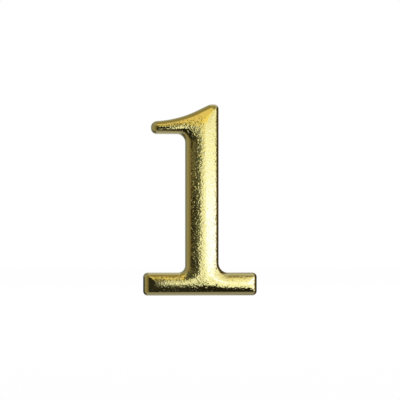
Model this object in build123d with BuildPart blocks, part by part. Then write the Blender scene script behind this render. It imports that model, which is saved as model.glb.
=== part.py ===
from build123d import *
import math
import os

import numpy as np

# House number "1": one solid casting with a flat back, a rounded bright rim and a crowned face.
# The numeral stands upright, faces -Y, and its flat back lies in the plane y = 0.
# The origin is on the back, at the middle of the numeral's height and width.

# Driving dimensions of the outline, in millimetres
NUMERAL_HEIGHT = 75.0
FOOT_WIDTH = 45.4
FOOT_HEIGHT = 9.0
STEM_WIDTH = 13.3
STEM_SHIFT = 0.7            # the stem stands a little right of the foot's middle
FLAG_REACH = 13.65          # from the stem's left side to the flag's tip
FLAG_UNDERSIDE = 63.2       # height of the flag's lower edge above the foot's base
FLAG_END = 4.9              # height of the flag's blunt end
SWOOP_ACROSS = 2.4          # where the flag's two upper tangents cross, left of the stem
SWOOP_UP = 69.0             # and how high above the foot's base
CREST_WIDTH = 3.4           # level stretch at the top, before its corners are rounded

# Radii of the outline
FOOT_CORNER = 1.75
FOOT_FILLET_LEFT = 2.8
FOOT_FILLET_RIGHT = 3.75
FLAG_FILLET = 3.3
FLAG_END_LOWER = 2.2
FLAG_END_UPPER = 2.5
SWOOP_RADIUS = 43.0
CREST_RADIUS = 5.0
TOP_CORNER = 1.8

# Section of the rim and the face
RIM_RADIUS = 4.6            # the rim starts square to the back and rolls inward
RIM_TURN = 48.0             # degrees of roll before the face begins
FACE_SLOPE = 32.0           # degrees, slope of the face along its edge
RIM_OVERRUN = 0.2           # how far the rim's section runs on under the face
CORE_OVERLAP = 0.03         # overlap of the rim's ring and the core inside it
CORE_HEIGHT = 8.0           # the core before the face trims it

# Net of points that carries the crowned face
NET_PITCH = 0.75
NET_MARGIN = 1.5
NET_TOLERANCE = 0.01
ARC_CHORDS = 8
TINY = 1e-6

RIM_WIDTH = RIM_RADIUS * (1 - math.cos(math.radians(RIM_TURN)))
RIM_HEIGHT = RIM_RADIUS * math.sin(math.radians(RIM_TURN))
RIM_REACH = RIM_WIDTH + RIM_OVERRUN
RIM_REACH_TURN = math.acos(1 - RIM_REACH / RIM_RADIUS)

FRONT = Plane.XZ            # x to the right, y up, normal towards the viewer
BASE = -NUMERAL_HEIGHT / 2
LEFT = -FOOT_WIDTH / 2
STEM_LEFT = STEM_SHIFT - STEM_WIDTH / 2
STEM_RIGHT = STEM_SHIFT + STEM_WIDTH / 2
FLAG_TIP = STEM_LEFT - FLAG_REACH

# Corners of the outline, anticlockwise from the foot's lower left, each with its radius
CORNERS = [
    ((LEFT, BASE), FOOT_CORNER),
    ((-LEFT, BASE), FOOT_CORNER),
    ((-LEFT, BASE + FOOT_HEIGHT), FOOT_CORNER),
    ((STEM_RIGHT, BASE + FOOT_HEIGHT), FOOT_FILLET_RIGHT),
    ((STEM_RIGHT, -BASE), TOP_CORNER),
    ((STEM_RIGHT - CREST_WIDTH, -BASE), CREST_RADIUS),
    ((STEM_LEFT - SWOOP_ACROSS, BASE + SWOOP_UP), SWOOP_RADIUS),
    ((FLAG_TIP, BASE + FLAG_UNDERSIDE + FLAG_END), FLAG_END_UPPER),
    ((FLAG_TIP, BASE + FLAG_UNDERSIDE), FLAG_END_LOWER),
    ((STEM_LEFT, BASE + FLAG_UNDERSIDE), FLAG_FILLET),
    ((STEM_LEFT, BASE + FOOT_HEIGHT), FOOT_FILLET_LEFT),
    ((LEFT, BASE + FOOT_HEIGHT), FOOT_CORNER),
]


def edge_chords(face):
    """The face's border as short straight chords, each a pair of (x, z) points."""
    chords = []
    for edge in face.edges():
        count = 1 if edge.geom_type == GeomType.LINE else ARC_CHORDS
        stops = [edge @ (i / count) for i in range(count + 1)]
        chords += [((a.X, a.Z), (b.X, b.Z)) for a, b in zip(stops, stops[1:])]
    return chords


def crown_rise(x, z, chords):
    """Rise of the face over its border: pi * tan(slope) / (sum of 1/r^2 along the border).

    Across a straight bar this is a parabola as wide as the bar, so broad strokes
    crown higher than narrow ones, every edge starts at the same slope, outer corners
    get hips and inner corners a smooth valley.
    """
    total = np.zeros_like(x)
    for (ax, az), (bx, bz) in chords:
        length = math.hypot(bx - ax, bz - az)
        ux, uz = (bx - ax) / length, (bz - az) / length
        along = (x - ax) * ux + (z - az) * uz
        away = np.maximum(np.abs((x - ax) * uz - (z - az) * ux), TINY)
        total += (np.arctan(along / away) + np.arctan((length - along) / away)) / away
    return math.pi * math.tan(math.radians(FACE_SLOPE)) / total


def face_heights(area, x_line, z_line):
    """Rows of heights over the back: above the border inside the area, below it outside."""
    x_net, z_net = np.meshgrid(x_line, z_line)
    rise = crown_rise(x_net, z_net, edge_chords(area))
    inside = [[area.is_inside(Vector(x, 0, z)) for x in x_line] for z in z_line]
    return RIM_HEIGHT + np.where(inside, rise, -rise)


# Outline of the numeral on its back, and the border of its face
with BuildSketch(FRONT) as outline:
    with BuildLine():
        FilletPolyline(
            [corner for corner, radius in CORNERS],
            radius=[radius for corner, radius in CORNERS],
            close=True,
        )
    make_face()

with BuildSketch(FRONT) as face_area:
    add(outline.sketch)
    offset(amount=-RIM_WIDTH, mode=Mode.REPLACE)

# Crowned face, a smooth surface through a net of points a little larger than the numeral
x_line = np.arange(LEFT - NET_MARGIN, -LEFT + NET_MARGIN + NET_PITCH, NET_PITCH)
z_line = np.arange(BASE - NET_MARGIN, -BASE + NET_MARGIN + NET_PITCH, NET_PITCH)
heights = face_heights(face_area.sketch.faces()[0], x_line, z_line)
crown = Face.make_surface_from_array_of_points(
    [[(x, -height, z) for x, height in zip(x_line, row)] for z, row in zip(z_line, heights)],
    tol=NET_TOLERANCE,
)

# Core and rim, trimmed by the crowned face
border = outline.sketch.wire()
rim_start = border @ 0
rim_plane = Plane(rim_start, x_dir=FRONT.z_dir.cross(border % 0), z_dir=border % 0)

with BuildPart() as numeral:
    with BuildSketch(FRONT):
        add(outline.sketch)
        offset(amount=CORE_OVERLAP - RIM_REACH, mode=Mode.REPLACE)
    extrude(amount=CORE_HEIGHT)
    with BuildSketch(rim_plane):
        with BuildLine():
            roll = CenterArc((RIM_RADIUS, 0), RIM_RADIUS, 180, -math.degrees(RIM_REACH_TURN))
            Polyline(roll @ 1, (RIM_REACH, 0), roll @ 0)
        make_face()
    sweep(path=border)
    extrude(crown, amount=CORE_HEIGHT, dir=(0, 1, 0), mode=Mode.INTERSECT)

numeral.part.label = "numeral"
os.makedirs("parts", exist_ok=True)
export_step(numeral.part, "parts/numeral.step")
depth = numeral.part.bounding_box().size.Y
print(f"depth {depth:.2f} mm, face edge {RIM_HEIGHT:.2f} mm, volume {numeral.part.volume:.0f} mm3")
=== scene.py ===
# %% [markdown]
# # A polished brass house number, digit one
# The real thing is one casting: a flat back, a smooth rim that rolls inward, and a crowned
# front with a fine grain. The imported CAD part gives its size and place. This notebook makes
# the finer mesh that stands for it, its metal, and the studio that it is seen in.

# %% Load the frame
import math

import bpy
import numpy as np
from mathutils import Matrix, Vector
from mathutils.geometry import delaunay_2d_cdt


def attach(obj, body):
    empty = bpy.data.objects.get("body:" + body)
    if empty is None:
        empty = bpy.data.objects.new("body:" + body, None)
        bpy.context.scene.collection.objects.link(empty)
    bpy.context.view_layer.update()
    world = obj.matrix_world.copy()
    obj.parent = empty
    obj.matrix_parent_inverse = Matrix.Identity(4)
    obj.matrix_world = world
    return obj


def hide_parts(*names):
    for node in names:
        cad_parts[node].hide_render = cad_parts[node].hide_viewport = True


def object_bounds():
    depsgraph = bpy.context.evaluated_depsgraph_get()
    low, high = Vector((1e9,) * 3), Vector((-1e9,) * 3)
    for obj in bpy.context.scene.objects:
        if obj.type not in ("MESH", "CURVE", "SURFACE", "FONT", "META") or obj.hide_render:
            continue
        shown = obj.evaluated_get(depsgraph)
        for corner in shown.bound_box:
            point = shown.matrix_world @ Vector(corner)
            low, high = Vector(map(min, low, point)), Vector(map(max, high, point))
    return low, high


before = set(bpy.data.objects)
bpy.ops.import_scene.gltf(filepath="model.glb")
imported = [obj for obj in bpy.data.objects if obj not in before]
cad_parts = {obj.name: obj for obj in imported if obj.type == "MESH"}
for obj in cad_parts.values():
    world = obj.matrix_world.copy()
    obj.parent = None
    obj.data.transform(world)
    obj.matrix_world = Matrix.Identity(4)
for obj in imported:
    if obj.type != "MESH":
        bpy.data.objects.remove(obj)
cad_low, cad_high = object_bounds()
MM = 0.001
print("CAD box in mm:", [round(v / MM, 2) for v in (*cad_low, *cad_high)])

# %% [markdown]
# ## The outline
# The numeral's outline is a polygon whose corners are rounded with arcs, the way it was drawn
# for the casting. Its overall height and width come from the CAD box, and the rest are the
# casting's own dimensions. Each point of the outline keeps its outward direction, because
# the rim is made by stepping inward along it.

# %% Dimensions of the casting
HEIGHT = cad_high.z - cad_low.z
FOOT_WIDTH = cad_high.x - cad_low.x
FOOT_HEIGHT = 9.0 * MM
STEM_WIDTH = 13.3 * MM
STEM_SHIFT = 0.7 * MM
FLAG_REACH = 13.65 * MM
FLAG_UNDERSIDE = 63.2 * MM
FLAG_END = 4.9 * MM
SWOOP_ACROSS = 2.4 * MM
SWOOP_UP = 69.0 * MM
CREST_WIDTH = 3.4 * MM

FOOT_CORNER = 1.75 * MM
FOOT_FILLET_LEFT = 2.8 * MM
FOOT_FILLET_RIGHT = 3.75 * MM
FLAG_FILLET = 3.3 * MM
FLAG_END_LOWER = 2.2 * MM
FLAG_END_UPPER = 2.5 * MM
SWOOP_RADIUS = 43.0 * MM
CREST_RADIUS = 5.0 * MM
TOP_CORNER = 1.8 * MM

left, base = -FOOT_WIDTH / 2, -HEIGHT / 2
stem_left, stem_right = STEM_SHIFT - STEM_WIDTH / 2, STEM_SHIFT + STEM_WIDTH / 2
flag_tip = stem_left - FLAG_REACH
corners = [
    ((left, base), FOOT_CORNER),
    ((-left, base), FOOT_CORNER),
    ((-left, base + FOOT_HEIGHT), FOOT_CORNER),
    ((stem_right, base + FOOT_HEIGHT), FOOT_FILLET_RIGHT),
    ((stem_right, -base), TOP_CORNER),
    ((stem_right - CREST_WIDTH, -base), CREST_RADIUS),
    ((stem_left - SWOOP_ACROSS, base + SWOOP_UP), SWOOP_RADIUS),
    ((flag_tip, base + FLAG_UNDERSIDE + FLAG_END), FLAG_END_UPPER),
    ((flag_tip, base + FLAG_UNDERSIDE), FLAG_END_LOWER),
    ((stem_left, base + FLAG_UNDERSIDE), FLAG_FILLET),
    ((stem_left, base + FOOT_HEIGHT), FOOT_FILLET_LEFT),
    ((left, base + FOOT_HEIGHT), FOOT_CORNER),
]
print("corners of the outline:", len(corners))

# %% Round the corners
ARC_STEP = math.radians(5)
STEP = 0.45 * MM


def rounded_outline(corners):
    """Points round the outline and their outward directions, as two arrays."""
    points, outward = [], []
    count = len(corners)
    for i, ((px, pz), radius) in enumerate(corners):
        corner = np.array((px, pz))
        before = np.array(corners[i - 1][0])
        after = np.array(corners[(i + 1) % count][0])
        come = (corner - before) / np.linalg.norm(corner - before)
        go = (after - corner) / np.linalg.norm(after - corner)
        turn = math.atan2(come[0] * go[1] - come[1] * go[0], come @ go)
        side = math.copysign(1, turn)
        start = corner - come * radius * math.tan(abs(turn) / 2)
        centre = start + side * radius * np.array((-come[1], come[0]))
        if points:
            add_run(points, outward, start)
        first = math.atan2(*(start - centre)[::-1])
        steps = max(math.ceil(abs(turn) / ARC_STEP), math.ceil(abs(turn) * radius / STEP))
        for k in range(steps + 1):
            angle = first + turn * k / steps
            ray = np.array((math.cos(angle), math.sin(angle)))
            points.append(centre + radius * ray)
            outward.append(side * ray)
    add_run(points, outward, points[0])
    return np.array(points), np.array(outward)


def add_run(points, outward, end):
    """Even points along the straight run from the last point to end, without its two ends."""
    start = points[-1]
    steps = max(1, math.ceil(np.linalg.norm(end - start) / STEP))
    for k in range(1, steps):
        points.append(start + (end - start) * k / steps)
        outward.append(outward[-1])


border, outward = rounded_outline(corners)
print("outline points:", len(border))

# %% [markdown]
# ## The rim
# The rim starts square to the back and rolls inward on an arc. It is made as a stack of loops:
# each loop is the outline moved inward and forward, so the rim keeps one section all round,
# as a pattern cut with one cutter does. The last loop is the border of the face.

# %% Loops of the rim
RIM_RADIUS = 4.6 * MM
RIM_TURN = math.radians(48)
RIM_LOOPS = 16

turns = [RIM_TURN * k / RIM_LOOPS for k in range(RIM_LOOPS + 1)]
loops = [border - outward * RIM_RADIUS * (1 - math.cos(t)) for t in turns]
rises = [RIM_RADIUS * math.sin(t) for t in turns]
face_border, rim_height = loops[-1], rises[-1]
print("rim height in mm:", round(rim_height / MM, 2))

# %% [markdown]
# ## The crowned face
# Every edge of the face starts at the same slope, and a broad stroke crowns higher than a
# narrow one. One formula does it: the rise is pi times the tangent of the slope, divided by
# the sum of one over the square of the distance to the whole border. Across a straight bar
# that is a parabola. At outer corners it gives hips and at inner corners a smooth valley.

# %% Rise of the face
FACE_SLOPE = math.radians(32)
FACE_PITCH = 0.36 * MM
BORDER_GAP = 0.5
TINY = 1e-9


def border_chords():
    """The straight chords of the face's border, each a pair of (x, z) points."""
    return zip(face_border, np.roll(face_border, -1, axis=0))


def face_rise(x, z):
    """Rise of the face over its border, for arrays of points inside it."""
    total = np.zeros_like(x)
    for (ax, az), (bx, bz) in border_chords():
        length = math.hypot(bx - ax, bz - az)
        ux, uz = (bx - ax) / length, (bz - az) / length
        along = (x - ax) * ux + (z - az) * uz
        away = np.maximum(np.abs((x - ax) * uz - (z - az) * ux), TINY)
        total += (np.arctan(along / away) + np.arctan((length - along) / away)) / away
    return math.pi * math.tan(FACE_SLOPE) / total


def inside_face(x, z):
    """True for the points that lie inside the face's border, and well clear of it."""
    within = np.zeros(x.shape, dtype=bool)
    nearest = np.full(x.shape, np.inf)
    for (ax, az), (bx, bz) in border_chords():
        crosses = (az > z) != (bz > z)
        if az != bz:
            within ^= crosses & (x < (bx - ax) * (z - az) / (bz - az) + ax)
        nearest = np.minimum(nearest, np.hypot(x - ax, z - az))
    return within & (nearest > BORDER_GAP * FACE_PITCH)


xs = np.arange(left, -left, FACE_PITCH)
zs = np.arange(base, -base, FACE_PITCH * math.sqrt(3) / 2)
x_net, z_net = np.meshgrid(xs, zs)
x_net[1::2] += FACE_PITCH / 2
keep = inside_face(x_net, z_net)
inner = np.column_stack((x_net[keep], z_net[keep]))
print("points inside the face:", len(inner))

# %% Slopes of the face
PROBE = 0.01 * MM


def face_slopes(points):
    """The face's slope to the right and upward at each point."""
    x, z = points.T
    right = (face_rise(x + PROBE, z) - face_rise(x - PROBE, z)) / (2 * PROBE)
    up = (face_rise(x, z + PROBE) - face_rise(x, z - PROBE)) / (2 * PROBE)
    return np.column_stack((right, up))


inner_rise = face_rise(*inner.T)
inner_slope = face_slopes(inner)
print("highest point in mm:", round((rim_height + inner_rise.max()) / MM, 2))

# %% [markdown]
# ## The mesh
# Rim, face and back share their points, so the casting is one closed mesh. The face is
# triangulated between its border and the points inside it. Each surface keeps its own exact
# directions as custom normals, so the metal reflects smoothly and the rim's inner edge and
# the back's edge stay crisp.

# %% The rim's faces
RIM, FACE, BACK = range(3)

count = len(border)
verts = [(x, -rise, z) for loop, rise in zip(loops, rises) for x, z in loop]
faces, normals, kinds = [], [], []


def add_face(corner_ids, corner_normals, kind):
    faces.append(tuple(corner_ids))
    normals.extend(corner_normals)
    kinds.append(kind)


def rim_normal(ray, tilt):
    """Direction of the rim at an outward ray, once the rim has rolled inward by tilt."""
    return (ray[0] * math.cos(tilt), -math.sin(tilt), ray[1] * math.cos(tilt))


for k in range(RIM_LOOPS):
    for i in range(count):
        j = (i + 1) % count
        ids = (k * count + i, k * count + j, (k + 1) * count + j, (k + 1) * count + i)
        tilts = (turns[k], turns[k], turns[k + 1], turns[k + 1])
        rays = (outward[i], outward[j], outward[j], outward[i])
        add_face(ids, [rim_normal(ray, tilt) for ray, tilt in zip(rays, tilts)], RIM)
print("faces of the rim:", len(faces))

# %% The crowned face and the back
flat = [Vector(p) for p in face_border] + [Vector(p) for p in inner]
ring = [(i, (i + 1) % count) for i in range(count)]
triangles = delaunay_2d_cdt(flat, ring, [], 1, TINY)[2]
first_border, first_inner = RIM_LOOPS * count, len(verts)
verts += [(x, -rim_height - rise, z) for (x, z), rise in zip(inner, inner_rise)]

edge_slope = -math.tan(FACE_SLOPE) * outward
slopes = np.vstack((edge_slope, inner_slope))
tops = np.column_stack((-slopes[:, 0], -np.ones(len(slopes)), -slopes[:, 1]))
tops /= np.linalg.norm(tops, axis=1)[:, None]
for triangle in triangles:
    ids = [first_border + i if i < count else first_inner + i - count for i in triangle]
    add_face(ids, [tuple(tops[i]) for i in triangle], FACE)
add_face(reversed(range(count)), [(0, 1, 0)] * count, BACK)
print("triangles of the face:", len(triangles))

# %% The casting
mesh = bpy.data.meshes.new("numeral_casting")
mesh.from_pydata(verts, [], faces)
mesh.polygons.foreach_set("material_index", kinds)
mesh.shade_smooth()
mesh.normals_split_custom_set(normals)
casting = bpy.data.objects.new("numeral_casting", mesh)
bpy.context.scene.collection.objects.link(casting)
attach(casting, "root")
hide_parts("numeral")
print("polygons of the casting:", len(mesh.polygons))

# %% [markdown]
# ## Writing materials as sums
# Node trees read best as arithmetic. This small class wraps one output socket, and sums,
# products and the like on it add Math nodes. Every other node comes from one method, which
# takes the node's type, its settings and what its sockets get.
#
# Three more words say where a value lies: above, below and between, each with soft limits.
# A patch joins them in two directions, for a spot of light or dark with soft edges.


# %% A socket that can be calculated with
class Strand:
    def __init__(self, tree, socket=None):
        self.tree, self.socket = tree, socket

    def make(self, kind, settings=None, sockets=None, out=0):
        """Adds a node, and gives a strand of one of its outputs."""
        node = self.tree.nodes.new(kind)
        for name, value in (settings or {}).items():
            if name == "stops":
                ramp = node.color_ramp
                while len(ramp.elements) < len(value):
                    ramp.elements.new(1.0)
                for element, (place, colour) in zip(ramp.elements, value):
                    element.position, element.color = place, (*colour, 1)
            else:
                setattr(node, name, value)
        for key, value in (sockets or {}).items():
            if isinstance(value, Strand):
                self.tree.links.new(value.socket, node.inputs[key])
            else:
                node.inputs[key].default_value = value
        return Strand(self.tree, node.outputs[out] if len(node.outputs) else None)

    def all_outputs(self):
        """A strand for each output of this strand's node, in their order."""
        return [Strand(self.tree, output) for output in self.socket.node.outputs]

    def math(self, operation, *values):
        sockets = dict(enumerate(values))
        return self.make("ShaderNodeMath", {"operation": operation}, sockets)

    def __add__(self, other):
        return self.math("ADD", self, other)

    def __radd__(self, other):
        return self.math("ADD", other, self)

    def __sub__(self, other):
        return self.math("SUBTRACT", self, other)

    def __rsub__(self, other):
        return self.math("SUBTRACT", other, self)

    def __mul__(self, other):
        return self.math("MULTIPLY", self, other)

    def __rmul__(self, other):
        return self.math("MULTIPLY", other, self)

    def __truediv__(self, other):
        return self.math("DIVIDE", self, other)

    def __neg__(self):
        return 0 - self

    def at_least(self, other):
        """The larger of the two."""
        return self.math("MAXIMUM", self, other)

    def above(self, low, high):
        """0 below low and 1 above high, with a smooth step between them."""
        sockets = {"Value": self, "From Min": low, "From Max": high}
        return self.make("ShaderNodeMapRange", {"interpolation_type": "SMOOTHSTEP"}, sockets)

    def below(self, low, high):
        """1 below low and 0 above high, with a smooth step between them."""
        return 1 - self.above(low, high)

    def between(self, low, full, fading, high):
        """1 from full to fading, and 0 below low and above high."""
        return self.above(low, full) * self.below(fading, high)

    def shades(self, stops):
        """The colour at this strand's value, from stops of a value and a colour each."""
        low, high = stops[0][0], stops[-1][0]
        places = [((value - low) / (high - low), colour) for value, colour in stops]
        fraction = (self - low) / (high - low)
        return self.make("ShaderNodeValToRGB", {"stops": places}, {"Fac": fraction})

    def tint(self, start, end):
        """Mixes two colours, or strands of colour, by this strand."""
        colours = [c if isinstance(c, Strand) else (*c, 1) for c in (start, end)]
        sockets = {"Factor": self, 6: colours[0], 7: colours[1]}
        return self.make("ShaderNodeMix", {"data_type": "RGBA"}, sockets, out=2)

    def finish(self, output="ShaderNodeOutputMaterial"):
        """Ends the tree with this strand, which holds its shader."""
        self.make(output, sockets={"Surface": self})


# %% Helpers for every tree
OBJECT_PLACE = 3
WHITE = (1, 1, 1)


def new_tree(owner):
    """Empties the owner's node tree and gives a strand to start from."""
    owner.use_nodes = True
    owner.node_tree.nodes.clear()
    return Strand(owner.node_tree)


def place_on(start):
    """The place of each point on the object, in metres."""
    return start.make("ShaderNodeTexCoord", out=OBJECT_PLACE)


def split(vector):
    """The three numbers of a vector."""
    return vector.make("ShaderNodeSeparateXYZ", sockets={0: vector}).all_outputs()


def noise(place, scale, detail):
    sockets = {"Vector": place, "Scale": scale, "Detail": detail}
    return place.make("ShaderNodeTexNoise", sockets=sockets)


def glow(start, tone):
    """A shader that shows just this tone, a colour or a strand of colour."""
    colour = tone if isinstance(tone, Strand) else (*tone, 1)
    return start.make("ShaderNodeEmission", sockets={"Color": colour, "Strength": 1.0})


def patch(across, up, left=None, right=None, low=None, high=None):
    """1 inside a patch and 0 outside. Each edge is the two values that it fades between."""
    share = 1.0
    if left:
        share = share * across.above(*left)
    if right:
        share = share * across.below(*right)
    if low:
        share = share * up.above(*low)
    if high:
        share = share * up.below(*high)
    return share


# %% [markdown]
# ## The metal
# Brass is a metal, so its colour lies in what it reflects. The rim was polished smooth. The
# front keeps the fine crossed grain of the casting under its polish: short low ridges that
# lie along both diagonals, about half a millimetre wide. They are bump, from two stretched
# noises, and only the higher parts of each noise count, so smooth metal stays between the
# ridges. The polish took more off the right of the stem, the right of the foot and the top,
# so the ridges are fainter there. They break up every reflection on the front.

# %% Grain along one diagonal
RIDGE_WIDTH, RIDGE_LENGTH = 0.6 * MM, 1.0 * MM
RISING, FALLING = math.radians(42), math.radians(-48)
RISING_SEED, FALLING_SEED = 3.1, 7.7
RIDGE_RANGE = (0.51, 0.79)


def ridges(place, turn, seed):
    """Short ridges along one direction of the front, with smooth metal between them."""
    turned = place.make(
        "ShaderNodeMapping",
        {"vector_type": "TEXTURE"},
        {
            "Vector": place,
            "Location": (seed, seed, seed),
            "Rotation": (0, turn, 0),
            "Scale": (RIDGE_WIDTH, RIDGE_WIDTH, RIDGE_LENGTH),
        },
    )
    return noise(turned, 1.0, 0.0).above(*RIDGE_RANGE)


print("a ridge in mm:", round(RIDGE_WIDTH / MM, 2), "by", round(RIDGE_LENGTH / MM, 2))

# %% What the polish left of the grain
STEM_STARTS, TOP_STARTS = (-30, -23), (29, 33)
STEM_RIGHT_SIDE, FOOT_RIGHT_SIDE = (-1.5, 2.5), (5, 9)
MORE_ON_STEM, LESS_RIGHT_OF_STEM, LESS_RIGHT_ON_FOOT, LESS_AT_TOP = 0.3, 0.75, 0.35, 0.3


def grain_left(x, z):
    """The share of the grain that the polish left, at a place in millimetres."""
    stem = z.above(*STEM_STARTS)
    on_stem = MORE_ON_STEM - LESS_RIGHT_OF_STEM * x.above(*STEM_RIGHT_SIDE)
    on_foot = LESS_RIGHT_ON_FOOT * (1 - stem) * x.above(*FOOT_RIGHT_SIDE)
    return (1 + stem * on_stem - on_foot) * (1 - LESS_AT_TOP * z.above(*TOP_STARTS))


# %% Brass
BRASS = (0.93, 0.79, 0.38)
WARM_BRASS = (0.92, 0.775, 0.36)
RIM_RELIEF, FACE_RELIEF, BACK_RELIEF = 0.004 * MM, 0.05 * MM, 0.02 * MM
RIM_ROUGH, FACE_ROUGH, BACK_ROUGH = (0.16, 0.06), (0.05, 0.03), (0.35, 0.15)
RIM_CLOUDS, BACK_CLOUDS = (260.0, 2.0), (900.0, 4.0)
WARM_GRAIN = (0.2, 1.2)


def finish_metal(start, colour, rough, relief, height):
    """A metal shader on the material's output. The relief is its bump and roughens it."""
    smooth, spread = rough
    sockets = {"Strength": 1.0, "Distance": height, "Height": relief}
    bump = start.make("ShaderNodeBump", sockets=sockets)
    sockets = {
        "Base Color": colour,
        "Metallic": 1.0,
        "Roughness": smooth + spread * relief,
        "Normal": bump,
    }
    start.make("ShaderNodeBsdfPrincipled", sockets=sockets).finish()


def rim_brass(start):
    cloud = noise(place_on(start), *RIM_CLOUDS)
    finish_metal(start, cloud.tint(BRASS, WARM_BRASS), RIM_ROUGH, cloud, RIM_RELIEF)


def face_brass(start):
    place = place_on(start)
    x, _, z = split(place)
    grain = ridges(place, RISING, RISING_SEED) + ridges(place, FALLING, FALLING_SEED)
    grain = grain * grain_left(x / MM, z / MM)
    colour = grain.above(*WARM_GRAIN).tint(BRASS, WARM_BRASS)
    finish_metal(start, colour, FACE_ROUGH, grain, FACE_RELIEF)


def back_brass(start):
    cast = noise(place_on(start), *BACK_CLOUDS)
    finish_metal(start, cast.tint(WARM_BRASS, BRASS), BACK_ROUGH, cast, BACK_RELIEF)


for name, fill in (
    ("smooth_rim_brass", rim_brass),
    ("grained_face_brass", face_brass),
    ("plain_back_brass", back_brass),
):
    material = bpy.data.materials.new(name)
    fill(new_tree(material))
    mesh.materials.append(material)
print("materials:", [m.name for m in mesh.materials])

# %% [markdown]
# ## The studio
# A mirror-like thing looks like what surrounds it. The tent round it is one large round
# shell that only reflections see. Its light is written by direction, as a turn to the right
# and a lift in degrees: a white softbox in front and to the right, brightest in its middle, a
# dark curtain to the left, a black ground in front, gold walls and ceiling, and grey behind.
#
# A list of stops gives the colour at each turn. A list of patches gives colours that are laid
# over it, each with the degrees that its edges fade between.

# %% Tones of the tent's left curtain
BLACK_GROUND = (0.016, 0.015, 0.010)
DIM_CURTAIN, UPPER_CURTAIN = (0.09, 0.10, 0.065), (0.15, 0.14, 0.075)
LEFT_CURTAIN = [
    (-76, (0.24, 0.20, 0.10)),
    (-62, (0.20, 0.155, 0.06)),
    (-54, (0.045, 0.036, 0.016)),
    (-45, (0.025, 0.022, 0.012)),
    (-35, (0.036, 0.036, 0.022)),
    (-25, (0.066, 0.072, 0.049)),
    (-14, (0.145, 0.163, 0.118)),
    (-8, (0.28, 0.31, 0.24)),
]
CURTAIN_PATCHES = [
    (UPPER_CURTAIN, {"left": (-62, -56), "right": (-38, -26), "low": (1, 8)}),
    (BLACK_GROUND, {"high": (-14, -10)}),
    (DIM_CURTAIN, {"low": (17, 23)}),
]
print("curtain: stops", len(LEFT_CURTAIN), "patches", len(CURTAIN_PATCHES))

# %% Tones of the softbox, the walls and the ceiling
SOFTBOX_LEFT, SOFTBOX = (0.87, 0.94, 0.84), (1.03, 1.145, 1.05)
SOFTBOX_CORE, SOFTBOX_TOP = (1.20, 1.40, 2.55), (0.96, 1.00, 0.82)
SEAM, CORNER_LOW = (0.50, 0.55, 0.42), (0.95, 1.03, 0.98)
CORNER_MIDDLE, CORNER_HIGH = (0.82, 0.84, 0.62), (0.54, 0.52, 0.36)
CREAM_WALL, PALE_WALL = (0.57, 0.60, 0.46), (0.92, 0.89, 0.54)
GOLD_WALL, BRIGHT_GOLD = (0.78, 0.67, 0.24), (0.96, 0.84, 0.28)
GOLD_CEILING, DARK_GOLD = (0.80, 0.67, 0.27), (0.20, 0.17, 0.08)
RIGHT_STRIP, BROWN_EDGE = (1.0, 1.10, 0.90), (0.20, 0.15, 0.04)
BOX_PATCHES = [
    (SEAM, {"left": (4.5, 6), "right": (9, 11), "high": (-13, -9)}),
    (CORNER_LOW, {"left": (22, 30), "low": (8, 14)}),
    (CORNER_MIDDLE, {"left": (22, 30), "low": (17, 24)}),
    (CORNER_HIGH, {"left": (18, 26), "low": (33, 42)}),
]
CEILING_PATCHES = [
    (GOLD_CEILING, {"right": (0, 4), "low": (43, 48)}),
    (DARK_GOLD, {"left": (4, 10), "low": (45, 52)}),
]
print("patches: softbox", len(BOX_PATCHES), "ceiling", len(CEILING_PATCHES))

# %% Tones behind the numeral
BACK_CEILING, RIGHT_CEILING = (0.31, 0.315, 0.235), (0.51, 0.53, 0.49)
BACK_TOP, BACK_GROUND = (0.27, 0.235, 0.11), (0.30, 0.31, 0.31)
LOW_CORNER = {"left": (-170, -152), "right": (-122, -112), "low": (-62, -50), "high": (-16, -8)}
LOW_CORNER_SHARE = 0.55
LEFT_BACK = [
    (76, (0.20, 0.165, 0.065)),
    (87, (0.21, 0.175, 0.075)),
    (99, (0.30, 0.285, 0.17)),
    (112, (0.29, 0.29, 0.23)),
    (132, (0.24, 0.25, 0.22)),
    (152, (0.18, 0.195, 0.20)),
    (170, (0.36, 0.39, 0.41)),
]
RIGHT_BACK = [
    (84, (0.08, 0.055, 0.02)),
    (130, (0.06, 0.045, 0.02)),
    (146, (0.15, 0.14, 0.12)),
    (164, (0.46, 0.49, 0.53)),
]
print("stops behind: left", len(LEFT_BACK), "right", len(RIGHT_BACK))

# %% [markdown]
# ## Light by direction
# The front of the numeral reflects the half of the tent in front of it. From left to right
# that is the curtain, then an edge, then the wall above and the softbox below. The edge is
# the most telling line of the whole picture: it falls on the stem as the border between the
# dark band and the bright one. The rim reflects the half behind, which is grey to the left,
# and dark and brown to the right. All angles are in degrees.

# %% The half in front
CURTAIN_EDGE = -9
HORIZON = -42


def paint(light, turn, lift, patches):
    """Lays patches of other tones over a light."""
    for tone, edges in patches:
        light = patch(turn, lift, **edges).tint(light, tone)
    return light


def curtain_light(turn, lift):
    light = (turn + 10 * lift.below(-8, -2)).shades(LEFT_CURTAIN)
    return paint(light, turn, lift, CURTAIN_PATCHES)


def wall_light(turn, lift):
    wall = turn.above(8, 12).tint(CREAM_WALL, PALE_WALL)
    gold = turn.above(-2, 5).tint(GOLD_WALL, BRIGHT_GOLD)
    return (lift + 0.4 * turn).above(23, 28).tint(wall, gold)


def softbox_light(turn, lift):
    light = turn.above(4, 12).tint(SOFTBOX_LEFT, SOFTBOX)
    core = turn.above(14, 28) * (lift + 0.1 * turn).above(-14, -2) * lift.below(-5, 9)
    light = core.tint(light, SOFTBOX_CORE)
    light = (lift - 8 * turn.below(22, 30)).above(12, 18).tint(light, SOFTBOX_TOP)
    return paint(light, turn, lift, BOX_PATCHES)


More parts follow.
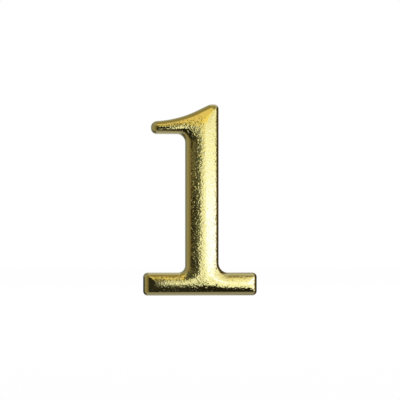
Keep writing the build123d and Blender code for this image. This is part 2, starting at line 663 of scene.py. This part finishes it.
def front_light(turn, lift):
    """The half of the tent that the front of the numeral reflects."""
    in_softbox = turn.above(16, 20).at_least(lift.below(5, 10))
    bright = in_softbox.tint(wall_light(turn, lift), softbox_light(turn, lift))
    edge = CURTAIN_EDGE + 0.5 * (-10 - lift).at_least(0) + 2.5 * lift.above(10, 16)
    edge = edge + 5 * lift.between(3, 8, 12, 15) - 5 * lift.below(-8, -2)
    light = (turn - edge).above(-2, 2).tint(curtain_light(turn, lift), bright)
    light = paint(light, turn, lift, CEILING_PATCHES)
    strip = turn.above(74, 79).tint(RIGHT_STRIP, BROWN_EDGE)
    light = turn.above(69, 76).tint(light, strip)
    over_ground = lift - HORIZON - 7 * turn.below(5, 11) - 12 * turn.above(22, 34)
    over_ground = over_ground * (1 + 0.6 * turn.above(10, 18))
    return over_ground.above(-9, 9).tint(BLACK_GROUND, light)


# %% The half behind
def back_light(turn, lift):
    """The half behind the numeral, which its rim reflects."""
    low_corner = LOW_CORNER_SHARE * patch(turn, lift, **LOW_CORNER)
    left_back = low_corner.tint((-turn).shades(LEFT_BACK), BLACK_GROUND)
    light = turn.above(-1, 1).tint(left_back, turn.shades(RIGHT_BACK))
    right = turn.between(60, 80, 173, 178)
    light = lift.above(34, 46).tint(light, right.tint(BACK_CEILING, RIGHT_CEILING))
    light = (lift - 6 * right).above(56, 66).tint(light, BACK_TOP)
    return lift.above(-60, -50).tint(BACK_GROUND, light)


# %% The light tent
TENT_RADIUS = 0.16
TENT_ROUNDS = 5
DEGREE = math.degrees(1)
LEFT_SEAM, RIGHT_SEAM = (74, 77), (82, 88)


def tent_light():
    material = bpy.data.materials.new("tent_light")
    start = new_tree(material)
    sockets = {0: place_on(start)}
    ray = start.make("ShaderNodeVectorMath", {"operation": "NORMALIZE"}, sockets)
    x, y, z = split(ray)
    turn = start.math("ARCTAN2", x, -y) * DEGREE
    lift = start.math("ARCSINE", z) * DEGREE
    behind = (-turn).above(*LEFT_SEAM).at_least(turn.above(*RIGHT_SEAM))
    glow(start, behind.tint(front_light(turn, lift), back_light(turn, lift))).finish()
    return material


def show_in_reflections_only(piece):
    piece.visible_camera = piece.visible_diffuse = piece.visible_shadow = False
    piece.visible_transmission = piece.visible_volume_scatter = False


bpy.ops.mesh.primitive_ico_sphere_add(subdivisions=TENT_ROUNDS, radius=TENT_RADIUS)
tent = bpy.context.object
tent.name = "light_tent"
tent.data.materials.append(tent_light())
show_in_reflections_only(tent)
print("tent radius in m:", TENT_RADIUS)

# %% [markdown]
# ## Three dark cards
# Small dark cards close to a shiny thing darken one part of it. The foot card hangs 12 mm in
# front of the foot's left half and the stem's lower end, with soft edges, so the metal falls
# off into black there. The flag card hangs in front of the flag and draws a dark line above
# and below its bright band. The end card stands behind the foot's left end and draws the
# black line along it. All three show in reflections only, as the tent does.

# %% How the cards are cut
CARD_TONE, BLACK = (0.025, 0.025, 0.018), (0.01, 0.01, 0.01)
FRONT_CARDS, END_CARD = -12, 30
LEAN, LEAN_FROM = 0.8, 26


def overlaid(covers):
    """Covers laid over each other: each lets through its share of what is left."""
    open_share = 1.0
    for cover in covers:
        open_share = open_share * (1 - cover)
    return 1 - open_share


def foot_cover(x, z):
    """Covers the foot's left half, with three tongues that reach under the stem's lower end."""
    return overlaid([
        patch(x, z, right=(-21, -6.5), high=(-26, -22)),
        0.65 * patch(x, z, right=(-4.5, -1.5), high=(-36.5, -33)),
        patch(x, z, right=(-4, -1), high=(-40, -36.5)),
        0.55 * patch(x, z, right=(-4.5, -1.5), low=(-28, -26), high=(-24, -22)),
    ])


def flag_cover(x, z):
    """A leaning patch below the flag's bright band, one above it, and one at its tip."""
    leaning = x + LEAN * (LEAN_FROM - z)
    return overlaid([
        patch(leaning, z, right=(-11, -7), low=(19.5, 21.5), high=(28.5, 29.5)),
        0.6 * patch(x, z, right=(-8, -5), low=(31.5, 32.5), high=(37.5, 39.5)),
        0.8 * patch(x, z, right=(-18.5, -17), low=(24, 26), high=(36, 38)),
    ])


def end_cover(x, z):
    return x.above(-64, -58)


# %% Hang the cards
def card_cloth(name, tone, cover):
    """Cloth that hides the tent by its cover, a strand worked out from the place on the card."""
    material = bpy.data.materials.new(name)
    start = new_tree(material)
    x, _, z = split(place_on(start))
    clear = start.make("ShaderNodeBsdfTransparent")
    sockets = {0: cover(x / MM, z / MM), 1: clear, 2: glow(start, tone)}
    start.make("ShaderNodeMixShader", sockets=sockets).finish()
    return material


def hang_card(name, across, depth, up, tone, cover):
    """A thin upright card between the given edges, in millimetres, that only reflections see."""
    edges = [(across[0], up[0]), (across[1], up[0]), (across[1], up[1]), (across[0], up[1])]
    card_mesh = bpy.data.meshes.new(name)
    card_mesh.from_pydata([(x * MM, depth * MM, z * MM) for x, z in edges], [], [(0, 1, 2, 3)])
    card_mesh.materials.append(card_cloth(name, tone, cover))
    card = bpy.data.objects.new(name, card_mesh)
    bpy.context.scene.collection.objects.link(card)
    show_in_reflections_only(card)
    print(name, "in mm: across", across, "up", up, "depth", depth)


hang_card("foot_card", (-45, -1), FRONT_CARDS, (-50, -20), CARD_TONE, foot_cover)
hang_card("flag_card", (-30, -3), FRONT_CARDS, (19, 40), BLACK, flag_cover)
hang_card("end_card", (-64, -27), END_CARD, (-60, -29), BLACK, end_cover)

# %% [markdown]
# ## The ground and the light on it
# The numeral stands on a plain pale floor that runs into a white background. To the camera
# the floor is mostly white, and a little of it stays an ordinary matt surface, which keeps
# the numeral's shadow. The metal sees the tent in its place.

# %% Floor
FLOOR_SIZE = 6.0
SHADOW_SHARE = 0.12
MATT_WHITE = (0.9, 0.9, 0.9, 1)

bpy.ops.mesh.primitive_plane_add(size=FLOOR_SIZE, location=(0, 0, base))
floor = bpy.context.object
floor.name = "pale_floor"
floor_paint = bpy.data.materials.new("pale_floor")
start = new_tree(floor_paint)
path = start.make("ShaderNodeLightPath").socket.node.outputs
straight, mirrored, through = (
    Strand(start.tree, path[name])
    for name in ("Is Camera Ray", "Is Glossy Ray", "Is Transmission Ray")
)
seen = straight.at_least(mirrored.at_least(through))
matt = start.make("ShaderNodeBsdfDiffuse", sockets={"Color": MATT_WHITE})
sockets = {0: seen * (1 - SHADOW_SHARE), 1: matt, 2: glow(start, WHITE)}
start.make("ShaderNodeMixShader", sockets=sockets).finish()
floor.data.materials.append(floor_paint)
floor.visible_glossy = False
print("floor at z in mm:", round(base / MM, 2))

# %% World and lamp
LAMP_PLACE = (0.25, -0.45, 0.5)
LAMP_SIZE, LAMP_WATTS = 0.4, 2.0

world = bpy.data.worlds.new("white_room")
bpy.context.scene.world = world
start = new_tree(world)
air = start.make("ShaderNodeBackground", sockets={"Color": (*WHITE, 1), "Strength": 1.0})
air.finish("ShaderNodeOutputWorld")

lamp_data = bpy.data.lights.new("softbox", "AREA")
lamp_data.size, lamp_data.energy = LAMP_SIZE, LAMP_WATTS
lamp = bpy.data.objects.new("softbox", lamp_data)
lamp.location = LAMP_PLACE
lamp.rotation_euler = (-Vector(LAMP_PLACE)).to_track_quat("-Z", "Y").to_euler()
lamp.visible_glossy = False
bpy.context.scene.collection.objects.link(lamp)
print("lamp in watts:", LAMP_WATTS)

# %% [markdown]
# ## The camera
# The rim shows much wider on the left than on the right, so the view comes from the left. The
# lens is long, as for a small product, and the numeral fills about half of the frame's height.

# %% Camera
AZIMUTH, ELEVATION = math.radians(-12), math.radians(-1)
LENS, SENSOR = 300.0, 36.0
FRAME_PIXELS, NUMERAL_PIXELS = 400, 191.24
AIM = Vector((0.0, 0.0, -0.06 * MM))
FAR_END = 20

view_height = HEIGHT * FRAME_PIXELS / NUMERAL_PIXELS
distance = view_height * LENS / SENSOR
away = Vector((
    math.sin(AZIMUTH) * math.cos(ELEVATION),
    -math.cos(AZIMUTH) * math.cos(ELEVATION),
    math.sin(ELEVATION),
))
camera_data = bpy.data.cameras.new("camera")
camera_data.lens, camera_data.sensor_width = LENS, SENSOR
camera_data.clip_end = FAR_END
camera = bpy.data.objects.new("camera", camera_data)
camera.location = AIM + away * distance
camera.rotation_euler = away.to_track_quat("Z", "Y").to_euler()
bpy.context.scene.collection.objects.link(camera)
bpy.context.scene.camera = camera
bpy.context.scene.view_settings.view_transform = "Standard"
print("camera distance in m:", round(distance, 3))
